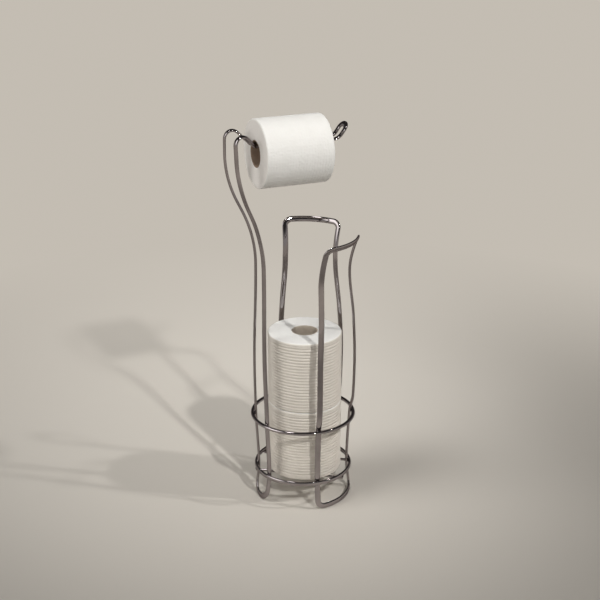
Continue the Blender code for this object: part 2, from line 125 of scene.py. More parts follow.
LIP_HEIGHT = NECK_HEIGHT + LIP_RISE
LIP_SLOPE_SHARE = 0.38

# Side frames: where they stand, and half the angle between the two legs
SIDE_FRAME_ANGLE = 56.3
SIDE_LOW_SPREAD = 37.5
SIDE_NECK_SPREAD = 34.0
SIDE_LIP_SPREAD = 31.2
SIDE_FOOT_CORNER = 0.0095
SIDE_TOP_CORNER = 0.0085

# Arm frame from the side, down from its top: arch, upright, outward lean and waist. Its two
# wires are closest together a little below the lean.
ARM_HEIGHT = 0.5965
ARM_ARCH_BEND = 0.013
ARM_UPRIGHT = 0.073
ARM_LEAN_RISE = 0.0892
ARM_LEAN_OUT = 0.0437
ARM_LEAN_LOW_SHARE = 0.45
ARM_LEAN_HIGH_SHARE = 0.40
ARM_STRAIGHT = 0.0478
ARM_WAIST_DRAW = 0.0035
ARM_BELLY_SWELL = 0.0014
ARM_BELLY_REACH = UPPER_SEAT + ARM_BELLY_SWELL
ARM_WAIST_REACH = ARM_BELLY_REACH - ARM_WAIST_DRAW
ARM_REACH = ARM_WAIST_REACH + ARM_LEAN_OUT
ARM_LEAN_END = ARM_HEIGHT - ARM_UPRIGHT
ARM_LEAN_START = ARM_LEAN_END - ARM_LEAN_RISE
ARM_WAIST_HEIGHT = ARM_LEAN_START - ARM_STRAIGHT
ARM_NARROW_DROP = 0.0093
ARM_NARROW_HEIGHT = ARM_LEAN_START - ARM_NARROW_DROP

# Arm from the arch to the hook's tip
ARM_DROP_ANGLE = 47.0
ARM_DIP = 0.020
ARM_LEVEL_HEIGHT = ARM_HEIGHT - ARM_DIP
ARM_LEVEL_BEND = 0.006
ROLL_MARGIN = 0.0012
HOOK_ROOM = 0.0222
HOOK_BEND = 0.018
HOOK_ANGLE = 54.0
HOOK_LENGTH = 0.0240

# Arm frame, half of the gap between the middles of its two wires, and half of its two short bars
ARM_FOOT_HALF_GAP = 0.023
ARM_RING_HALF_GAP = 0.0246
ARM_NARROW_HALF_GAP = 0.0167
ARM_SHOULDER_HALF_GAP = 0.0268
ARM_ARCH_HALF_GAP = 0.0210
ARM_CORE_HALF_GAP = 0.0085
HOOK_HALF_GAP = 0.0100
ARM_FOOT_HALF_BAR = 0.004
HOOK_HALF_BAR = 0.0015

# Spacing of the points along bent wires, and counts of faces
LEG_STEP = 0.0022
BAR_STEP = 0.0016
FINE_STEP = 0.0009
SAMPLE_STEP = 0.0004
WIRE_FACES = 36
ROUND_WIRE_FACES = 28
RING_FACES = 288
CORNER_FACES = 20
OVAL_FULLNESS = 2.15

# Weld beads, which fill the seam between two wires
BEAD_ALONG = 0.0026
BEAD_TALL = 0.0030
BEAD_DEEP = 0.0011
BEAD_FACES = 24

# Ridges of the spare rolls: they wander a little along and round the roll, and keep clear of its
# ends and of its rounded edges
RIDGE_PITCH = 0.0049
RIDGE_DEPTH = 0.0009
RIDGE_STEPS = 10
RIDGE_WANDER = 0.00022
RIDGE_WANDER_ROUND = 3
RIDGE_WANDER_SIZE = 1.4
GROOVE_SHARPNESS = 1.8
END_MARGIN = 0.0042
RIDGED_SHARE = 0.9

# Loose end of every roll: its step, its uneven edge, the smooth band beside it, and in degrees
# how far round the roll it lies
TAIL_STEP = 0.00035
TAIL_STEP_TURN = 0.003
TAIL_WANDER = 0.0009
TAIL_WAVE = 0.02
TAIL_BAND = 0.012
TAIL_SMOOTH_SHARE = 0.3
SPARE_TAIL_TURN = 168.0
SPARE_TAIL_SHIFT = 9.0
HANGING_TAIL_TURN = 200.0

# Layers that show on the ends of the rolls
LAYER_RELIEF = 0.00012
LAYER_SPACING = 0.0022
LAYER_SINK_SHARE = 0.8

# Numbers that make the unevenness of each roll its own
SPARE_SEED = 3.1
HANGING_SEED = 7.7
SEED_SKEW = 0.37

# Cardboard cores, with a spiral seam as wide as this share of a turn
CORE_CHAMFER_SHARE = 0.25
CORE_SEAM_TURNS = 2.2
CORE_SEAM_DEPTH = 0.00025
CORE_SEAM_SHARE = 0.018

# Counts of faces of the rolls
ROLL_FACES = 240
EDGE_FACES = 6
END_RINGS = 26
CORE_FACES = 120
CORE_STEPS = 72

# Chrome: its pale and deep tone, its tint at a grazing angle, and its blur where clean and smudged
# Tones and edge tint painted far darker than real chrome: a painted reflection of dark surroundings
CHROME_TONES_PAINTED_DARK = ((0.395, 0.36, 0.365), (0.31, 0.28, 0.284))
CHROME_EDGE_TINT_PAINTED_DARK = (0.35, 0.32, 0.32)
CHROME_BLUR = (0.02, 0.09)

# Paper: pale and deep tone of a roll's side, tone of its ends, and its dimples, as (how close they
# are, how deep). Between the two facing values, the look of the side turns into that of the end.
# Ridged paper's side painted darker than its end: a painted shade, as the light falls on the top
RIDGED_SIDE_TONES_WITH_PAINTED_SHADE = ((0.785, 0.735, 0.665), (0.735, 0.685, 0.615))
RIDGED_END = (0.95, 0.94, 0.91)
RIDGED_DIMPLES = (330.0, 0.0002)
SOFT_TONES = ((0.905, 0.89, 0.86), (0.875, 0.86, 0.825))
SOFT_END = (0.95, 0.91, 0.86)
SOFT_DIMPLES = (235.0, 0.0006)
DIMPLE_SCATTER = 0.55
PAPER_GLOSS = 0.25
PAPER_BLUR = (0.82, 1.0)
END_FACING = (0.55, 0.95)

# Cardboard: pale and deep tone of each core
SPARE_CORE_TONES = ((0.60, 0.53, 0.45), (0.48, 0.41, 0.335))
HANGING_CORE_TONES = ((0.40, 0.30, 0.22), (0.31, 0.22, 0.16))
CARDBOARD_GLOSS = 0.2
CARDBOARD_BLUR = (0.75, 0.98)
CARDBOARD_GRAIN = (1.0, 1.0, 0.35)

# Camera: fitted to the photograph together with the wires
CAMERA_FROM_AXIS = Vector((-0.6962, -1.6689, 1.0156))
CAMERA_PITCH = 20.862
CAMERA_YAW = 22.5
CAMERA_LENS = 75.475
CAMERA_SENSOR = 36.0

# Floor: lit near the object, and from here to there out it turns into an evenly pale backdrop
FLOOR_SIZE = 60.0
FLOOR_COLOUR = (0.75, 0.705, 0.64)
FLOOR_DEEP_SHARE = 0.985
FLOOR_GLOSS = 0.3
FLOOR_BLUR = 0.6
BACKDROP_COLOUR = (0.55, 0.508, 0.448)
BACKDROP_START = 0.5
BACKDROP_FULL = 1.3

# World: pale round the horizon, dark from this rise of the view upwards
HORIZON_LEVEL = 0.50
SKY_LEVEL = 0.05
HORIZON_TOP = 0.10
SKY_START = 0.32
WORLD_TINT = (1.0, 0.97, 0.93)

# Lamps: (name, degrees right of the camera, elevation, radius, cone's angle, height it points at,
# how far behind the object, and the light that it throws on a surface that faces it, where 1 shows
# a white surface white), and the names of those that show in the wires
LAMP_DISTANCE = 4.5
LAMP_COLOUR = (1.0, 0.99, 0.97)
LAMPS = (
    ("key", 28.5, 38.0, 0.10, 18.5, 0.52, 0.0, 0.465),
    ("left", -70.0, 28.0, 2.00, 56.0, 0.30, 0.0, 0.54),
    ("low", -12.0, 5.0, 0.20, 12.0, 0.56, 0.0, 0.13),
    ("side", 78.0, 45.0, 0.10, 20.0, 0.25, 0.0, 0.23),
    ("top", -62.0, 72.0, 0.45, 26.0, 0.10, 0.0, 0.16),
    ("behind", 0.0, 90.0, 0.50, 36.0, 0.0, 1.5, 0.60),
)
SPARKLING_LAMPS = ("key", "left", "side", "top")


def show(name, mesh_data, finish, body, nodes):
    """Turn a form, given from the rings' axis, into a piece that stands for solids."""
    bmesh.ops.translate(mesh_data, verts=mesh_data.verts, vec=RINGS_PLACE)
    bmesh.ops.recalc_face_normals(mesh_data, faces=mesh_data.faces)
    mesh = bpy.data.meshes.new(name)
    mesh_data.to_mesh(mesh)
    mesh_data.free()
    mesh.shade_smooth()
    mesh.materials.append(finish)
    item = bpy.data.objects.new(name, mesh)
    bpy.context.scene.collection.objects.link(item)
    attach(item, body)
    if nodes:
        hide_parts(*nodes)


# Directions, shares and places in a list

def heading(azimuth):
    """Level direction at an azimuth in degrees."""
    turn = math.radians(azimuth)
    return Vector((math.cos(turn), math.sin(turn), 0.0))


def eased(share):
    """Share that starts and ends gently."""
    return share * share * (3 - 2 * share)


def place_in(values, value):
    """Index of the last of some rising values that isn't above a value, short of the very last."""
    return min(max(bisect.bisect_right(values, value) - 1, 0), len(values) - 2)


# Wire sections and sweeps

def oval_section(width, thickness):
    """Section of an oval wire, a little fuller than an ellipse: points (across, out)."""
    points = []
    for step in range(WIRE_FACES):
        turn = 2 * math.pi * (step + 0.5) / WIRE_FACES
        across = math.copysign(abs(math.cos(turn)) ** (2 / OVAL_FULLNESS), math.cos(turn))
        out = math.copysign(abs(math.sin(turn)) ** (2 / OVAL_FULLNESS), math.sin(turn))
        points.append((across * width / 2, out * thickness / 2))
    return points


def round_section(diameter):
    """Section of a round wire: points (across, out)."""
    points = []
    for step in range(ROUND_WIRE_FACES):
        turn = 2 * math.pi * (step + 0.5) / ROUND_WIRE_FACES
        points.append((diameter / 2 * math.cos(turn), diameter / 2 * math.sin(turn)))
    return points


def join_loops(mesh_data, here, there):
    """Band of faces between two loops of points."""
    count = len(here)
    for corner in range(count):
        following = (corner + 1) % count
        mesh_data.faces.new((here[corner], here[following], there[following], there[corner]))


def join_round(mesh_data, loops):
    """Bands of faces from each loop to the next, and from the last back to the first."""
    for index, loop in enumerate(loops):
        join_loops(mesh_data, loop, loops[(index + 1) % len(loops)])


def sweep_closed(path, section):
    """Carry a section round a closed path of (point, outward direction) pairs."""
    mesh_data = bmesh.new()
    loops = []
    count = len(path)
    for index, (point, outward) in enumerate(path):
        before = (point - path[index - 1][0]).normalized()
        after = (path[(index + 1) % count][0] - point).normalized()
        along = (before + after).normalized()
        out = (outward - outward.dot(along) * along).normalized()
        across = along.cross(out)
        loops.append([mesh_data.verts.new(point + across * a + out * o) for a, o in section])
    join_round(mesh_data, loops)
    return mesh_data


# Curves seen from the side: lists of (reach, height)

def smooth_between(stations, start_slope, end_slope, step):
    """Points of a curve through (position, value) stations that adds no humps of its own."""
    secants = []
    for (p0, v0), (p1, v1) in zip(stations, stations[1:]):
        secants.append((v1 - v0) / (p1 - p0))
    slopes = [start_slope]
    for left, right in zip(secants, secants[1:]):
        slopes.append(2 * left * right / (left + right) if left * right > 0 else 0.0)
    slopes.append(end_slope)
    points = []
    for index, ((p0, v0), (p1, v1)) in enumerate(zip(stations, stations[1:])):
        span = p1 - p0
        count = max(1, math.ceil(span / step))
        for part in range(count):
            t = part / count
            value = ((1 + 2 * t) * (1 - t) ** 2 * v0 + t * t * (3 - 2 * t) * v1
                     + t * (1 - t) ** 2 * span * slopes[index]
                     + t * t * (t - 1) * span * slopes[index + 1])
            points.append((value, p0 + t * span))
    points.append((stations[-1][1], stations[-1][0]))
    return points


def rounded_line(corners, step):
    """Points along straight runs whose inner corners (reach, height, bend radius) are arcs."""
    points = [Vector(corners[0][:2])]
    for before, corner, after in zip(corners, corners[1:], corners[2:]):
        middle = Vector(corner[:2])
        bend = corner[2]
        inward = (Vector(before[:2]) - middle).normalized()
        onward = (Vector(after[:2]) - middle).normalized()
        turn = math.pi - inward.angle(onward)
        setback = bend * math.tan(turn / 2)
        centre = middle + (inward + onward).normalized() * bend / math.cos(turn / 2)
        start = middle + inward * setback - centre
        side = 1 if inward.cross(onward) < 0 else -1
        count = max(2, math.ceil(turn * bend / step))
        for part in range(count + 1):
            angle = side * turn * part / count
            cos, sin = math.cos(angle), math.sin(angle)
            points.append(centre + Vector((start.x * cos - start.y * sin,
                                           start.x * sin + start.y * cos)))
    points.append(Vector(corners[-1][:2]))
    return [(point.x, point.y) for point in points]


class Profile:
    """A side curve measured by its own length, with the direction it runs in."""

    def __init__(self, points):
        self.points = [Vector(points[0])]
        self.lengths = [0.0]
        for point in points[1:]:
            here = Vector(point)
            run = (here - self.points[-1]).length
            if run > SAMPLE_STEP / 100:
                self.lengths.append(self.lengths[-1] + run)
                self.points.append(here)
        self.total = self.lengths[-1]

    def point(self, length):
        index = place_in(self.lengths, length)
        share = (length - self.lengths[index]) / (self.lengths[index + 1] - self.lengths[index])
        return self.points[index].lerp(self.points[index + 1], share)

    def direction(self, length):
        low = self.point(max(0.0, length - 3 * SAMPLE_STEP))
        high = self.point(min(self.total, length + 3 * SAMPLE_STEP))
        return (high - low).normalized()

    def length_at_height(self, height):
        """Length at which the curve first rises past a height."""
        for index, point in enumerate(self.points):
            if point.y >= height:
                return self.lengths[index]
        return self.total


def foot_stations():
    """Places of a leg from the floor to the upper ring: (height, reach)."""
    return [(FOOT_HEIGHT, FOOT_REACH), (LOWER_RING_HEIGHT, LOWER_SEAT),
            (UPPER_RING_HEIGHT, UPPER_SEAT)]


def side_profile():
    """The vase shape from the side, from the foot to the flared lip."""
    stations = foot_stations() + [
        (HIP_HEIGHT, HIP_REACH), (BELLY_HEIGHT, BELLY_REACH), (SHOULDER_HEIGHT, SHOULDER_REACH),
        (NECK_HEIGHT, NECK_REACH), (LIP_HEIGHT, LIP_REACH)]
    return Profile(smooth_between(stations, 0.0, LIP_SLOPE_SHARE, SAMPLE_STEP))


def arch_corner_height():
    """Height at which the arm's riser and its drop would meet if the arch were a sharp corner."""
    half_turn = math.radians(90 + ARM_DROP_ANGLE) / 2
    return ARM_HEIGHT - ARM_ARCH_BEND + ARM_ARCH_BEND * math.tan(half_turn)


def level_corner_reach():
    """Reach at which the arm's drop meets its level run."""
    fall = arch_corner_height() - ARM_LEVEL_HEIGHT
    return ARM_REACH - fall / math.tan(math.radians(ARM_DROP_ANGLE))


def hanging_near_face():
    """Reach of the hanging roll's end that faces the arch, just past the bend in the arm."""
    setback = ARM_LEVEL_BEND * math.tan(math.radians(ARM_DROP_ANGLE) / 2)
    return level_corner_reach() - setback - ROLL_MARGIN


def lean_bends():
    """Radii of the bends below and above the lean, each of which takes its share of it."""
    lean = math.hypot(ARM_LEAN_OUT, ARM_LEAN_RISE)
    half_turn = math.atan(ARM_LEAN_OUT / ARM_LEAN_RISE) / 2
    return tuple(lean * share / math.tan(half_turn)
                 for share in (ARM_LEAN_LOW_SHARE, ARM_LEAN_HIGH_SHARE))


def arm_profile():
    """The tall frame from the side: up, outwards, over the arch, down, level and up the hook."""
    stations = foot_stations() + [
        (BELLY_HEIGHT, ARM_BELLY_REACH), (ARM_WAIST_HEIGHT, ARM_WAIST_REACH)]
    leg = smooth_between(stations, 0.0, 0.0, SAMPLE_STEP)
    low_bend, high_bend = lean_bends()
    rise = math.radians(HOOK_ANGLE)
    hook_reach = hanging_near_face() - HANGING_LENGTH - HOOK_ROOM
    corners = [(ARM_WAIST_REACH, ARM_WAIST_HEIGHT),
               (ARM_WAIST_REACH, ARM_LEAN_START, low_bend),
               (ARM_REACH, ARM_LEAN_END, high_bend),
               (ARM_REACH, arch_corner_height(), ARM_ARCH_BEND),
               (level_corner_reach(), ARM_LEVEL_HEIGHT, ARM_LEVEL_BEND),
               (hook_reach, ARM_LEVEL_HEIGHT, HOOK_BEND),
               (hook_reach - HOOK_LENGTH * math.cos(rise),
                ARM_LEVEL_HEIGHT + HOOK_LENGTH * math.sin(rise))]
    return Profile(leg + rounded_line(corners, SAMPLE_STEP))


# Frames: a flat closed loop (aside, length up the profile) wrapped onto a curved surface

def corner_points(aside, length, radius, up):
    """Quarter turn between a cross bar and a leg, from the bar outwards or from the leg back."""
    points = []
    for part in range(CORNER_FACES + 1):
        turn = math.radians(90) * part / CORNER_FACES
        if up:
            points.append((aside - radius + radius * math.sin(turn),
                           length + radius - radius * math.cos(turn)))
        else:
            points.append((aside - radius + radius * math.cos(turn),
                           length - radius + radius * math.sin(turn)))
    return points


def loop_outline(total, half_gap, leg_lengths, foot_corner, top_corner):
    """Closed outline from the middle of the foot bar, up one leg, across and down the other."""
    foot_aside = half_gap(foot_corner)
    top_aside = half_gap(total - top_corner)
    half = []
    foot_bar = foot_aside - foot_corner
    bar_count = max(1, math.ceil(foot_bar / BAR_STEP))
    half += [(foot_bar * part / bar_count, 0.0) for part in range(bar_count)]
    half += corner_points(foot_aside, 0.0, foot_corner, True)
    half += [(half_gap(length), length) for length in leg_lengths]
    half += corner_points(top_aside, total, top_corner, False)
    top_bar = top_aside - top_corner
    bar_count = max(1, math.ceil(top_bar / BAR_STEP))
    half += [(top_bar * (bar_count - part) / bar_count, total)
             for part in range(1, bar_count + 1)]
    other = [(-aside, length) for aside, length in reversed(half[1:-1])]
    return half + other


def even_lengths(start, end, step):
    """Evenly spaced lengths between two, without the two themselves."""
    count = max(1, math.ceil((end - start) / step))
    return [start + (end - start) * part / count for part in range(1, count)]


def wrap(profile, outline, crown, facing):
    """Points and outward directions of an outline on the surface, turned to face an azimuth."""
    forward = heading(facing)
    sideways = UPWARD.cross(forward)
    path = []
    for aside, length in outline:
        reach, height = profile.point(length)
        run = profile.direction(length)
        round_share = crown(length)
        sag, lean = 0.0, 0.0
        if round_share:
            sag = round_share * (reach - math.sqrt(reach * reach - aside * aside))
            lean = math.asin(aside / reach) * round_share
        point = forward * (reach - sag) + sideways * aside + UPWARD * height
        radial = forward * math.cos(lean) + sideways * math.sin(lean)
        path.append((point, radial * run.y - UPWARD * run.x))
    return path


def side_frame_mesh(facing):
    """Side frame whose middle stands at an azimuth."""
    profile = side_profile()
    neck = profile.length_at_height(NECK_HEIGHT)
    belly = profile.length_at_height(BELLY_HEIGHT)

    def half_gap(length):
        if length <= belly:
            spread = SIDE_LOW_SPREAD
        elif length <= neck:
            share = eased((length - belly) / (neck - belly))
            spread = SIDE_LOW_SPREAD + (SIDE_NECK_SPREAD - SIDE_LOW_SPREAD) * share
        else:
            share = (length - neck) / (profile.total - neck)
            spread = SIDE_NECK_SPREAD + (SIDE_LIP_SPREAD - SIDE_NECK_SPREAD) * share
        return profile.point(length).x * math.sin(math.radians(spread))

    legs = even_lengths(SIDE_FOOT_CORNER, profile.total - SIDE_TOP_CORNER, LEG_STEP)
    outline = loop_outline(profile.total, half_gap, legs, SIDE_FOOT_CORNER, SIDE_TOP_CORNER)
    path = wrap(profile, outline, lambda length: 1.0, facing)
    return sweep_closed(path, oval_section(STRIP_WIDTH, STRIP_THICKNESS))


def arm_frame_mesh():
    """Tall frame with the arch, the arm and the hook."""
    profile = arm_profile()
    lower = profile.length_at_height(LOWER_RING_HEIGHT)
    upper = profile.length_at_height(UPPER_RING_HEIGHT)
    narrow = profile.length_at_height(ARM_NARROW_HEIGHT)
    shoulder = profile.length_at_height(ARM_LEAN_END)
    arch_start = profile.length_at_height(ARM_HEIGHT - ARM_ARCH_BEND)
    arch_end = arch_start + ARM_ARCH_BEND * math.radians(90 + ARM_DROP_ANGLE)
    core_far = profile.total - HOOK_LENGTH - HOOK_ROOM
    core_near = core_far - HANGING_LENGTH
    gaps = [(0.0, ARM_FOOT_HALF_GAP), (lower, ARM_FOOT_HALF_GAP), (upper, ARM_RING_HALF_GAP),
            (narrow, ARM_NARROW_HALF_GAP), (shoulder, ARM_SHOULDER_HALF_GAP),
            (arch_end, ARM_ARCH_HALF_GAP), (core_near, ARM_CORE_HALF_GAP),
            (core_far, ARM_CORE_HALF_GAP), (profile.total, HOOK_HALF_GAP)]
    gap_curve = [Vector((length, gap))
                 for gap, length in smooth_between(gaps, 0.0, 0.0, SAMPLE_STEP)]
    gap_lengths = [point.x for point in gap_curve]

    def half_gap(length):
        index = place_in(gap_lengths, length)
        first, second = gap_curve[index], gap_curve[index + 1]
        return first.y + (second.y - first.y) * (length - first.x) / (second.x - first.x)

    def crown(length):
        """Full roundness of the vase in the legs, easing to none over the arch."""
        if length <= arch_start:
            return 1.0
        if length >= arch_end:
            return 0.0
        return 1.0 - eased((length - arch_start) / (arch_end - arch_start))

    foot_corner = ARM_FOOT_HALF_GAP - ARM_FOOT_HALF_BAR
    hook_corner = HOOK_HALF_GAP - HOOK_HALF_BAR
    legs = even_lengths(foot_corner, arch_start, LEG_STEP) + [arch_start]
    arch = even_lengths(arch_start, arch_end, FINE_STEP) + [arch_end]
    level_start = core_near - 2 * ARM_LEVEL_BEND
    drop = even_lengths(arch_end, level_start, LEG_STEP) + [level_start]
    settle = even_lengths(level_start, core_near, FINE_STEP) + [core_near]
    hook_start = profile.total - HOOK_LENGTH - HOOK_BEND
    run = even_lengths(core_near, hook_start, LEG_STEP) + [hook_start]
    rise = even_lengths(hook_start, profile.total - hook_corner, FINE_STEP)
    lengths = legs + arch + drop + settle + run + rise
    outline = loop_outline(profile.total, half_gap, lengths, foot_corner, hook_corner)
    path = wrap(profile, outline, crown, 180.0)
    return sweep_closed(path, oval_section(STRIP_WIDTH, STRIP_THICKNESS))


# Rings and base wires

def ring_mesh(radius, height, section):
    """Level ring, given by the middle of its wire."""
    path = []
    for step in range(RING_FACES):
        outward = heading(360 * step / RING_FACES)
        path.append((outward * radius + UPWARD * height, outward))
    return sweep_closed(path, section)


def base_wire_top():
    """Height of the base wires' tops, just under the lower ring."""
    return LOWER_RING_HEIGHT - LOWER_RING_TALL / 2 - SEAT_GAP


def base_wire_mesh(side):
    """Straight wire welded under the lower ring, its cut ends a little rounded."""
    radius = BASE_WIRE_DIAMETER / 2
    outer = LOWER_RING_RADIUS + LOWER_RING_THICKNESS / 2
    half = math.sqrt(outer * outer - (BASE_WIRE_OFFSET + radius) ** 2)
    normal = heading(SIDE_FRAME_ANGLE)
    along = UPWARD.cross(normal)
    middle = normal * side * BASE_WIRE_OFFSET + UPWARD * (base_wire_top() - radius)
    chamfer = radius * CUT_END_SHARE
    straight = (half - chamfer) * 2
    steps = math.ceil(straight / LEG_STEP)
    end = [(-half + chamfer * inward, share) for inward, share in CUT_END_STATIONS]
    stations = end + [(-half + chamfer + straight * part / steps, 1.0) for part in range(1, steps)]
    stations += [(-place, share) for place, share in reversed(end)]
    mesh_data = bmesh.new()
    loops = []
    for place, share in stations:
        centre = middle + along * place
        loops.append([mesh_data.verts.new(centre + (normal * a + UPWARD * o) * share)
                      for a, o in round_section(BASE_WIRE_DIAMETER)])
    for here, there in zip(loops, loops[1:]):
        join_loops(mesh_data, here, there)
    mesh_data.faces.new(loops[0])
    mesh_data.faces.new(loops[-1])
    return mesh_data


def add_bead(mesh_data, centre, along, out):
    """Flattened bead of weld metal between two wires that touch."""
    up = along.cross(out)
    loops = []
    rows = BEAD_FACES // 2
    for row in range(1, rows):
        tilt = math.pi * row / rows
        level = centre + out * (BEAD_DEEP * math.cos(tilt))
        loop = []
        for step in range(BEAD_FACES):
            turn = 2 * math.pi * step / BEAD_FACES
            loop.append(mesh_data.verts.new(
                level + along * (BEAD_ALONG * math.sin(tilt) * math.cos(turn))
                + up * (BEAD_TALL * math.sin(tilt) * math.sin(turn))))
        loops.append(loop)
    for here, there in zip(loops, loops[1:]):
        join_loops(mesh_data, here, there)
    for loop, side in ((loops[0], 1), (loops[-1], -1)):
        pole = mesh_data.verts.new(centre + out * BEAD_DEEP * side)
        for step in range(BEAD_FACES):
            mesh_data.faces.new((loop[step], loop[(step + 1) % BEAD_FACES], pole))


# Rolls

def soft_noise(position, size, seed):
    """Gentle unevenness from about -1 to 1, the same for the same place and seed."""
    return noise.noise(Vector(position) / size + Vector((seed, seed * SEED_SKEW, -seed)))


def paper_outline(diameter, length, ridged):
    """Half section of a wound roll: points (radius, place, share of the outer surface's detail)."""
    inner = CORE_BORE / 2 + CORE_WALL + SEAT_GAP / 2
    outer = diameter / 2
    rounding = ROLL_EDGE_ROUNDING
    points = []
    for part in range(END_RINGS):
        radius = inner + (outer - rounding - inner) * part / END_RINGS
        points.append((radius, -length / 2, 0.0))
    for part in range(EDGE_FACES + 1):
        turn = math.radians(90) * part / EDGE_FACES
        points.append((outer - rounding + rounding * math.sin(turn),
                       -length / 2 + rounding - rounding * math.cos(turn), math.sin(turn)))
    straight = length - 2 * rounding
    step = RIDGE_PITCH / RIDGE_STEPS if ridged else LEG_STEP
    steps = math.ceil(straight / step)
    for part in range(1, steps):
        points.append((outer, -length / 2 + rounding + straight * part / steps, 1.0))
    for part in range(EDGE_FACES + 1):
        turn = math.radians(90) * (1 - part / EDGE_FACES)
        points.append((outer - rounding + rounding * math.sin(turn),
                       length / 2 - rounding + rounding * math.cos(turn), math.sin(turn)))
    for part in range(END_RINGS):
        radius = outer - rounding - (outer - rounding - inner) * (part + 1) / END_RINGS
        points.append((radius, length / 2, 0.0))
    return points


def ridge_depth(place, length, turn, seed):
    """How far a groove between two ridges goes in, at a place along the roll."""
    if abs(place) > length / 2 - END_MARGIN:
        return 0.0
    here = (RIDGE_WANDER_ROUND * math.cos(turn), RIDGE_WANDER_ROUND * math.sin(turn),
            place / RIDGE_PITCH)
    wander = RIDGE_WANDER * soft_noise(here, RIDGE_WANDER_SIZE, seed)
    phase = math.cos(2 * math.pi * (place + wander) / RIDGE_PITCH)
    return RIDGE_DEPTH * (0.5 + 0.5 * phase) ** GROOVE_SHARPNESS


def paper_mesh(diameter, length, axis, aside, centre, tail_turn, ridged, seed):
    """Wound paper whose outer layer ends in a step along the roll, with ridges if it has them."""
    mesh_data = bmesh.new()
    cross = axis.cross(aside)
    outer = diameter / 2
    outline = paper_outline(diameter, length, ridged)
    loops = []
    for step in range(ROLL_FACES + 1):
        share = step / ROLL_FACES
        loop = []
        for radius, place, detail in outline:
            wavy = TAIL_WANDER / outer * soft_noise((place, 0.0, 0.0), TAIL_WAVE, seed)
            turn = tail_turn + wavy * (1 - abs(2 * share - 1)) ** 0.5 + 2 * math.pi * share
            if step == ROLL_FACES:
                turn -= TAIL_STEP_TURN
            outward = aside * math.cos(turn) + cross * math.sin(turn)
            inset = detail * TAIL_STEP * share
            if ridged and detail > RIDGED_SHARE:
                from_tail = min(share, 1 - share) * 2 * math.pi * outer
                fade = min(1.0, max(0.0, from_tail / TAIL_BAND - TAIL_SMOOTH_SHARE))
                inset += fade * ridge_depth(place, length, turn, seed)
            lift = 0.0
            if detail == 0.0:
                lift = LAYER_RELIEF * soft_noise((radius, 0.0, 0.0), LAYER_SPACING, seed)
                lift -= LAYER_RELIEF * LAYER_SINK_SHARE
                lift *= math.copysign(1.0, place)
            point = centre + outward * (radius - inset) + axis * (place + lift)
            loop.append(mesh_data.verts.new(point))
        loops.append(loop)
    join_round(mesh_data, loops)
    return mesh_data


def core_mesh(length, axis, aside, centre):
    """Cardboard tube with the spiral seam of its strip, cut a little into the inside."""
    inner = CORE_BORE / 2
    outer = inner + CORE_WALL
    chamfer = CORE_WALL * CORE_CHAMFER_SHARE
    mesh_data = bmesh.new()
    cross = axis.cross(aside)
    loops = []
    for step in range(CORE_FACES):
        turn = 2 * math.pi * step / CORE_FACES
        outward = aside * math.cos(turn) + cross * math.sin(turn)
        points = [(outer, -length / 2 + chamfer), (outer, length / 2 - chamfer),
                  (outer - chamfer, length / 2), (inner + chamfer, length / 2)]
        for part in range(CORE_STEPS + 1):
            place = (length / 2 - chamfer) * (1 - 2 * part / CORE_STEPS)
            turns = CORE_SEAM_TURNS * (place / length) - turn / (2 * math.pi)
            gap = abs(turns - round(turns))
            groove = CORE_SEAM_DEPTH * math.exp(-(gap / CORE_SEAM_SHARE) ** 2)
            points.append((inner + groove, place))
        points += [(inner + chamfer, -length / 2), (outer - chamfer, -length / 2)]
        loops.append([mesh_data.verts.new(centre + outward * radius + axis * place)
                      for radius, place in points])
    join_round(mesh_data, loops)
    return mesh_data


# Materials

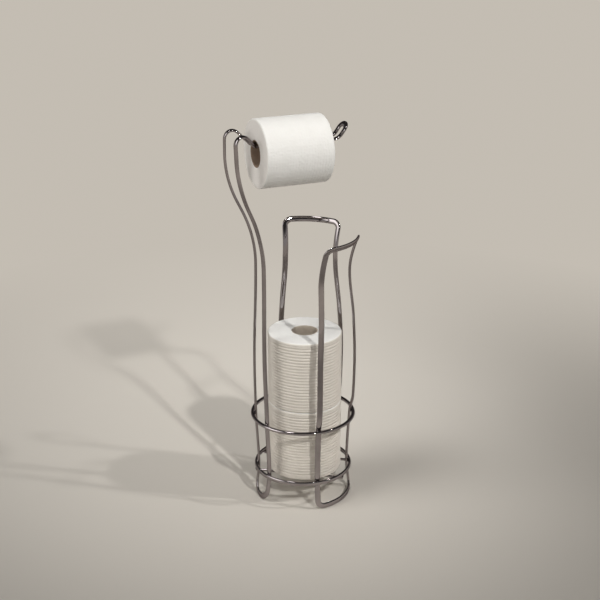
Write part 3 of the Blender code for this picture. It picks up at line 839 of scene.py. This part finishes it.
class Finish:
    """A material and short ways to add nodes to it."""

    def __init__(self, name):
        self.material = bpy.data.materials.new(name)
        self.material.use_nodes = True
        self.tree = self.material.node_tree
        self.shader = self.tree.nodes["Principled BSDF"]
        coordinates = self.add("ShaderNodeTexCoord").outputs
        self.place = coordinates["Object"]
        self.normal = coordinates["Normal"]

    def add(self, kind, **settings):
        node = self.tree.nodes.new(kind)
        for key, value in settings.items():
            setattr(node, key, value)
        return node

    def link(self, output, target):
        self.tree.links.new(output, target)

    def noise(self, scale, detail, roughness=0.5, place=None):
        node = self.add("ShaderNodeTexNoise")
        node.inputs["Scale"].default_value = scale
        node.inputs["Detail"].default_value = detail
        node.inputs["Roughness"].default_value = roughness
        self.link(place or self.place, node.inputs["Vector"])
        return node.outputs["Fac"]

    def stretched(self, scale):
        node = self.add("ShaderNodeMapping")
        node.inputs["Scale"].default_value = scale
        self.link(self.place, node.inputs["Vector"])
        return node.outputs["Vector"]

    def ramp(self, value, stops):
        node = self.add("ShaderNodeValToRGB")
        elements = node.color_ramp.elements
        while len(elements) < len(stops):
            elements.new(0.5)
        for element, (position, colour) in zip(elements, stops):
            element.position = position
            element.color = (*colour, 1.0)
        self.link(value, node.inputs["Fac"])
        return node.outputs["Color"]

    def range(self, value, results, limits=(0.0, 1.0)):
        """Results, low and high, for a value between two limits."""
        node = self.add("ShaderNodeMapRange")
        node.inputs["From Min"].default_value, node.inputs["From Max"].default_value = limits
        node.inputs["To Min"].default_value, node.inputs["To Max"].default_value = results
        self.link(value, node.inputs["Value"])
        return node.outputs["Result"]

    def math(self, operation, first, second):
        node = self.add("ShaderNodeMath", operation=operation)
        for socket, value in zip(node.inputs, (first, second)):
            if isinstance(value, (int, float)):
                socket.default_value = value
            else:
                self.link(value, socket)
        return node.outputs["Value"]

    def radius_from(self, centre, axis_scale):
        """Distance from a roll's axis, from which wound layers are drawn."""
        shift = self.add("ShaderNodeVectorMath", operation="SUBTRACT")
        shift.inputs[1].default_value = centre
        self.link(self.place, shift.inputs[0])
        flat = self.add("ShaderNodeVectorMath", operation="MULTIPLY")
        flat.inputs[1].default_value = axis_scale
        self.link(shift.outputs["Vector"], flat.inputs[0])
        length = self.add("ShaderNodeVectorMath", operation="LENGTH")
        self.link(flat.outputs["Vector"], length.inputs[0])
        return length.outputs["Value"]

    def bump(self, layers):
        """Chain of (height, strength, distance) bumps into the shader's normal."""
        previous = None
        for height, strength, distance in layers:
            node = self.add("ShaderNodeBump")
            node.inputs["Strength"].default_value = strength
            node.inputs["Distance"].default_value = distance
            self.link(height, node.inputs["Height"])
            if previous:
                self.link(previous, node.inputs["Normal"])
            previous = node.outputs["Normal"]
        self.link(previous, self.shader.inputs["Normal"])


def chrome_finish():
    """Chrome plate with faint clouds, smudges and waves; its dark colour is a painted reflection.
    """
    finish = Finish("chrome_plate_painted_dark")
    shader = finish.shader
    pale, deep = CHROME_TONES_PAINTED_DARK
    shader.inputs["Metallic"].default_value = 1.0
    shader.inputs["Specular Tint"].default_value = (*CHROME_EDGE_TINT_PAINTED_DARK, 1.0)
    clouds = finish.noise(scale=28.0, detail=4.0)
    # Base colour painted dark: a painted reflection of dark surroundings, with faint clouds
    finish.link(finish.ramp(clouds, ((0.32, deep), (0.68, pale))), shader.inputs["Base Color"])
    smudges = finish.noise(scale=140.0, detail=5.0, roughness=0.65)
    finish.link(finish.range(smudges, CHROME_BLUR, (0.35, 0.75)), shader.inputs["Roughness"])
    waves = finish.noise(scale=75.0, detail=2.0)
    pits = finish.noise(scale=900.0, detail=2.0)
    finish.bump(((waves, 0.10, 0.0006), (pits, 0.03, 0.0001)))
    return finish.material


def paper_finish(name, tones, end, dimples, centre, axis_scale):
    """Wound paper: the roll's side between two tones, and its ends, where the layers show."""
    finish = Finish(name)
    shader = finish.shader
    pale, deep = tones
    closeness, depth = dimples
    shader.inputs["Specular IOR Level"].default_value = PAPER_GLOSS
    mottle = finish.noise(scale=55.0, detail=5.0, roughness=0.6)
    colour = finish.ramp(mottle, ((0.30, deep), (0.70, pale)))
    # The side's tone turns into the end's by facing; on the ridged paper this paints shade on the
    # side
    facing = finish.add("ShaderNodeVectorMath", operation="DOT_PRODUCT")
    facing.inputs[1].default_value = tuple(1.0 - scale for scale in axis_scale)
    finish.link(finish.normal, facing.inputs[0])
    end_on = finish.math("ABSOLUTE", facing.outputs["Value"], 0.0)
    at_end = finish.range(end_on, (0.0, 1.0), END_FACING)
    blend = finish.add("ShaderNodeMix", data_type="RGBA")
    blend.inputs["B"].default_value = (*end, 1.0)
    finish.link(at_end, blend.inputs["Factor"])
    finish.link(colour, blend.inputs["A"])
    finish.link(blend.outputs["Result"], shader.inputs["Base Color"])
    radius = finish.radius_from(centre, axis_scale)
    combine = finish.add("ShaderNodeCombineXYZ")
    finish.link(radius, combine.inputs["X"])
    outward = combine.outputs["Vector"]
    layers = finish.noise(scale=2600.0, detail=4.0, roughness=0.7, place=outward)
    fibres = finish.noise(scale=1500.0, detail=4.0, roughness=0.7)
    finish.link(finish.range(fibres, PAPER_BLUR), shader.inputs["Roughness"])
    emboss = finish.add("ShaderNodeTexVoronoi")
    emboss.inputs["Scale"].default_value = closeness
    emboss.inputs["Randomness"].default_value = DIMPLE_SCATTER
    finish.link(finish.place, emboss.inputs["Vector"])
    on_side = finish.math("SUBTRACT", 1.0, at_end)
    pattern = finish.math("MULTIPLY", emboss.outputs["Distance"], on_side)
    finish.bump(((layers, 0.25, 0.0003), (pattern, 1.0, depth), (fibres, 0.35, 0.0002)))
    return finish.material


def cardboard_finish(name, tones):
    """Plain cardboard with faint clouds and fibres."""
    finish = Finish(name)
    shader = finish.shader
    pale, deep = tones
    shader.inputs["Specular IOR Level"].default_value = CARDBOARD_GLOSS
    clouds = finish.noise(scale=90.0, detail=5.0, roughness=0.6)
    colour = finish.ramp(clouds, ((0.3, deep), (0.72, pale)))
    finish.link(colour, shader.inputs["Base Color"])
    grain = finish.stretched(CARDBOARD_GRAIN)
    fibres = finish.noise(scale=700.0, detail=4.0, roughness=0.7, place=grain)
    finish.link(finish.range(fibres, CARDBOARD_BLUR), shader.inputs["Roughness"])
    finish.bump(((fibres, 0.4, 0.0003),))
    return finish.material


def floor_finish():
    """Plain pale floor that keeps the object's shadow and is evenly pale farther away."""
    finish = Finish("pale_floor")
    shader = finish.shader
    shader.inputs["Specular IOR Level"].default_value = FLOOR_GLOSS
    shader.inputs["Roughness"].default_value = FLOOR_BLUR
    clouds = finish.noise(scale=1.3, detail=3.0)
    deep = tuple(value * FLOOR_DEEP_SHARE for value in FLOOR_COLOUR)
    colour = finish.ramp(clouds, ((0.3, deep), (0.7, FLOOR_COLOUR)))
    finish.link(colour, shader.inputs["Base Color"])
    backdrop = finish.add("ShaderNodeEmission")
    backdrop.inputs["Color"].default_value = (*BACKDROP_COLOUR, 1.0)
    distance = finish.add("ShaderNodeVectorMath", operation="LENGTH")
    finish.link(finish.place, distance.inputs[0])
    away = finish.range(distance.outputs["Value"], (0.0, 1.0), (BACKDROP_START, BACKDROP_FULL))
    rays = finish.add("ShaderNodeLightPath").outputs
    seen = finish.math("MAXIMUM", rays["Is Camera Ray"], rays["Is Glossy Ray"])
    seen = finish.math("MAXIMUM", seen, rays["Is Transmission Ray"])
    blend = finish.add("ShaderNodeMixShader")
    finish.link(finish.math("MULTIPLY", away, seen), blend.inputs["Fac"])
    finish.link(shader.outputs["BSDF"], blend.inputs[1])
    finish.link(backdrop.outputs["Emission"], blend.inputs[2])
    finish.link(blend.outputs["Shader"], finish.tree.nodes["Material Output"].inputs["Surface"])
    return finish.material


# Pieces

def build_stand(chrome):
    """The welded wires of the stand."""
    round_wire = round_section(UPPER_RING_WIRE)
    tall_wire = oval_section(LOWER_RING_TALL, LOWER_RING_THICKNESS)
    upper = ring_mesh(UPPER_RING_RADIUS, UPPER_RING_HEIGHT, round_wire)
    lower = ring_mesh(LOWER_RING_RADIUS, LOWER_RING_HEIGHT, tall_wire)
    pieces = (
        ("arm_frame_wire", arm_frame_mesh(), "arm_frame"),
        ("left_side_wire", side_frame_mesh(SIDE_FRAME_ANGLE), "left_side_frame"),
        ("right_side_wire", side_frame_mesh(-SIDE_FRAME_ANGLE), "right_side_frame"),
        ("upper_ring_wire", upper, "upper_ring"),
        ("lower_ring_wire", lower, "lower_ring"),
        ("left_base_rod", base_wire_mesh(1), "left_base_wire"),
        ("right_base_rod", base_wire_mesh(-1), "right_base_wire"),
    )
    for name, mesh_data, node in pieces:
        show(name, mesh_data, chrome, "stand", [node])


def leg_azimuths(height):
    """Azimuths at which the six legs cross a ring, in degrees."""
    if height > (LOWER_RING_HEIGHT + UPPER_RING_HEIGHT) / 2:
        seat, arm_gap = UPPER_SEAT, ARM_RING_HALF_GAP
    else:
        seat, arm_gap = LOWER_SEAT, ARM_FOOT_HALF_GAP
    arm = math.degrees(math.asin(arm_gap / seat))
    places = [180 - arm, 180 + arm]
    for side in (1, -1):
        middle = side * SIDE_FRAME_ANGLE
        places += [middle - SIDE_LOW_SPREAD, middle + SIDE_LOW_SPREAD]
    return places


def build_beads(chrome):
    """Weld beads, where legs cross the rings and where the base wires meet the lower ring."""
    mesh_data = bmesh.new()
    for height, seat in ((LOWER_RING_HEIGHT, LOWER_SEAT), (UPPER_RING_HEIGHT, UPPER_SEAT)):
        for azimuth in leg_azimuths(height):
            outward = heading(azimuth)
            centre = outward * (seat + STRIP_THICKNESS / 2 + SEAT_GAP / 2) + UPWARD * height
            add_bead(mesh_data, centre, UPWARD.cross(outward), outward)
    normal = heading(SIDE_FRAME_ANGLE)
    along = UPWARD.cross(normal)
    half = math.sqrt(LOWER_RING_RADIUS ** 2 - BASE_WIRE_OFFSET ** 2)
    for side in (1, -1):
        for end in (1, -1):
            centre = normal * side * BASE_WIRE_OFFSET + along * end * half
            centre += UPWARD * (base_wire_top() + SEAT_GAP / 2)
            add_bead(mesh_data, centre, along, UPWARD)
    show("weld_beads", mesh_data, chrome, "stand", [])


def box_centre(node):
    """Middle of a solid, measured from the rings' axis."""
    low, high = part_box(node)
    return (low + high) / 2 - RINGS_PLACE


def build_spare(level, name, paper_look, core_look):
    """One of the two spare rolls, which stand upright."""
    centre = box_centre(name + "_paper")
    tail = math.radians(SPARE_TAIL_TURN + SPARE_TAIL_SHIFT * level)
    seed = SPARE_SEED + level
    paper = paper_mesh(SPARE_DIAMETER, SPARE_LENGTH, UPWARD, ALONG_ARM, centre, tail, True, seed)
    show(name + "_wound_paper", paper, paper_look, name, [name + "_paper"])
    core = core_mesh(SPARE_LENGTH, UPWARD, ALONG_ARM, centre)
    show(name + "_tube", core, core_look, name, [name + "_core"])


def build_hanging(name, paper_look, core_look):
    """The roll in use, which lies along the arm."""
    centre = box_centre(name + "_paper")
    tail = math.radians(HANGING_TAIL_TURN)
    paper = paper_mesh(HANGING_DIAMETER, HANGING_LENGTH, ALONG_ARM, UPWARD, centre, tail, False,
                       HANGING_SEED)
    show(name + "_wound_paper", paper, paper_look, name, [name + "_paper"])
    core = core_mesh(HANGING_LENGTH, ALONG_ARM, UPWARD, centre)
    show(name + "_tube", core, core_look, name, [name + "_core"])


def build_rolls():
    """The two spare rolls and the roll in use, each with its paper and its core."""
    spare_centre = box_centre("lower_spare_paper") + RINGS_PLACE
    # Ridged paper, its side painted darker than its end as a painted shade
    ridged = paper_finish("ridged_paper", RIDGED_SIDE_TONES_WITH_PAINTED_SHADE, RIDGED_END, RIDGED_DIMPLES, spare_centre,
                          (1.0, 1.0, 0.0))
    grey = cardboard_finish("grey_cardboard", SPARE_CORE_TONES)
    for level, name in enumerate(("lower_spare", "upper_spare")):
        build_spare(level, name, ridged, grey)
    hanging_centre = box_centre("hanging_roll_paper") + RINGS_PLACE
    soft = paper_finish("soft_paper", SOFT_TONES, SOFT_END, SOFT_DIMPLES, hanging_centre,
                        (0.0, 1.0, 1.0))
    brown = cardboard_finish("brown_cardboard", HANGING_CORE_TONES)
    build_hanging("hanging_roll", soft, brown)


# Stage

def build_floor():
    """Wide level floor on which the object stands."""
    mesh_data = bmesh.new()
    bmesh.ops.create_grid(mesh_data, x_segments=1, y_segments=1, size=FLOOR_SIZE / 2)
    mesh = bpy.data.meshes.new("floor")
    mesh_data.to_mesh(mesh)
    mesh_data.free()
    mesh.materials.append(floor_finish())
    item = bpy.data.objects.new("floor", mesh)
    bpy.context.scene.collection.objects.link(item)


def right_of_camera(degrees, elevation):
    """Direction from the object, in degrees from the azimuth at which the camera stands."""
    rise = math.radians(elevation)
    level = heading(-90 - CAMERA_YAW + degrees)
    return level * math.cos(rise) + UPWARD * math.sin(rise)


def add_lamp(name, place, target, radius, cone, level):
    """Spot lamp at a place, turned to a target."""
    lamp = bpy.data.lights.new(name, "SPOT")
    lamp.shadow_soft_size = radius
    lamp.spot_size = math.radians(cone)
    lamp.spot_blend = 1.0
    lamp.energy = 4 * math.pi ** 2 * (place - target).length_squared * level
    lamp.color = LAMP_COLOUR
    item = bpy.data.objects.new(name, lamp)
    item.location = place
    item.rotation_euler = (target - place).to_track_quat("-Z", "Y").to_euler()
    bpy.context.scene.collection.objects.link(item)
    return item


def build_lamps():
    """The studio's lamps, each with a cone that is limited to what it lights."""
    behind = right_of_camera(180.0, 0.0)
    for name, right, elevation, radius, cone, height, back, level in LAMPS:
        target = RINGS_PLACE + UPWARD * height + behind * back
        place = target + right_of_camera(right, elevation) * LAMP_DISTANCE
        lamp = add_lamp(name, place, target, radius, cone, level)
        lamp.visible_glossy = name in SPARKLING_LAMPS


def build_world():
    """World that is pale round the horizon and dark above."""
    world = bpy.data.worlds.new("studio")
    world.use_nodes = True
    nodes = world.node_tree.nodes
    links = world.node_tree.links
    rise = nodes.new("ShaderNodeSeparateXYZ")
    links.new(nodes.new("ShaderNodeTexCoord").outputs["Generated"], rise.inputs["Vector"])
    ramp = nodes.new("ShaderNodeValToRGB")
    ramp.color_ramp.interpolation = "EASE"
    for element, place, level in zip(ramp.color_ramp.elements, (HORIZON_TOP, SKY_START),
                                     (HORIZON_LEVEL, SKY_LEVEL)):
        element.position = place
        element.color = (*(level * tint for tint in WORLD_TINT), 1.0)
    links.new(rise.outputs["Z"], ramp.inputs["Fac"])
    links.new(ramp.outputs["Color"], nodes["Background"].inputs["Color"])
    bpy.context.scene.world = world


def build_camera():
    """Camera at the photograph's viewing angle."""
    data = bpy.data.cameras.new("camera")
    data.lens = CAMERA_LENS
    data.sensor_width = CAMERA_SENSOR
    item = bpy.data.objects.new("camera", data)
    item.location = RINGS_PLACE + CAMERA_FROM_AXIS
    item.rotation_euler = (math.radians(90 - CAMERA_PITCH), 0.0, math.radians(-CAMERA_YAW))
    bpy.context.scene.collection.objects.link(item)
    bpy.context.scene.camera = item


chrome_plate = chrome_finish()
build_stand(chrome_plate)
build_beads(chrome_plate)
build_rolls()
build_floor()
build_lamps()
build_world()
build_camera()
bpy.context.scene.view_settings.view_transform = "Standard"
